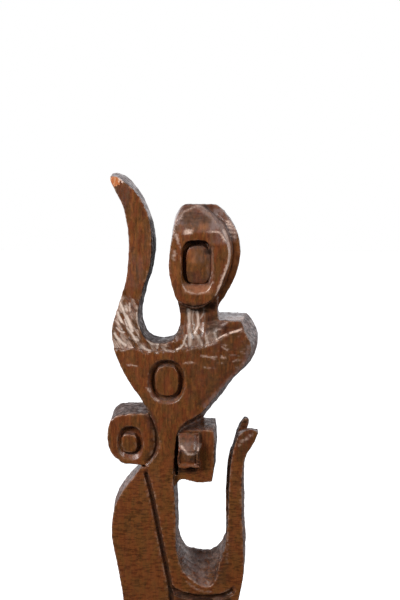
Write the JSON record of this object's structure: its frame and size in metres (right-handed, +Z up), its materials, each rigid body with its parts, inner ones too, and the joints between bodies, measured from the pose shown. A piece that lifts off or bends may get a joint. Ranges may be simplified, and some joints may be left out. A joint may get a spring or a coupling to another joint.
{
  "type": "carved wood sculpture",
  "caption": "Tall abstract figure carved from one thick board, with a horn-like raised arm, masked head, ringed torso, forked prong and low base.",
  "frame": {"origin": "centre of the underside of the base, under the middle of the whole box", "axes": "+Z up the figure, +Y from its carved front to its plain back, +X to the right seen from the front"},
  "size_m": [0.3137, 0.184, 1.2905],
  "materials": {
    "stained_wood": "dark brown stain under semi-gloss varnish, gouge-cut, with worn edges"
  },
  "bodies": {
    "root": {"figure": "stained_wood"}
  },
  "joints": []
}
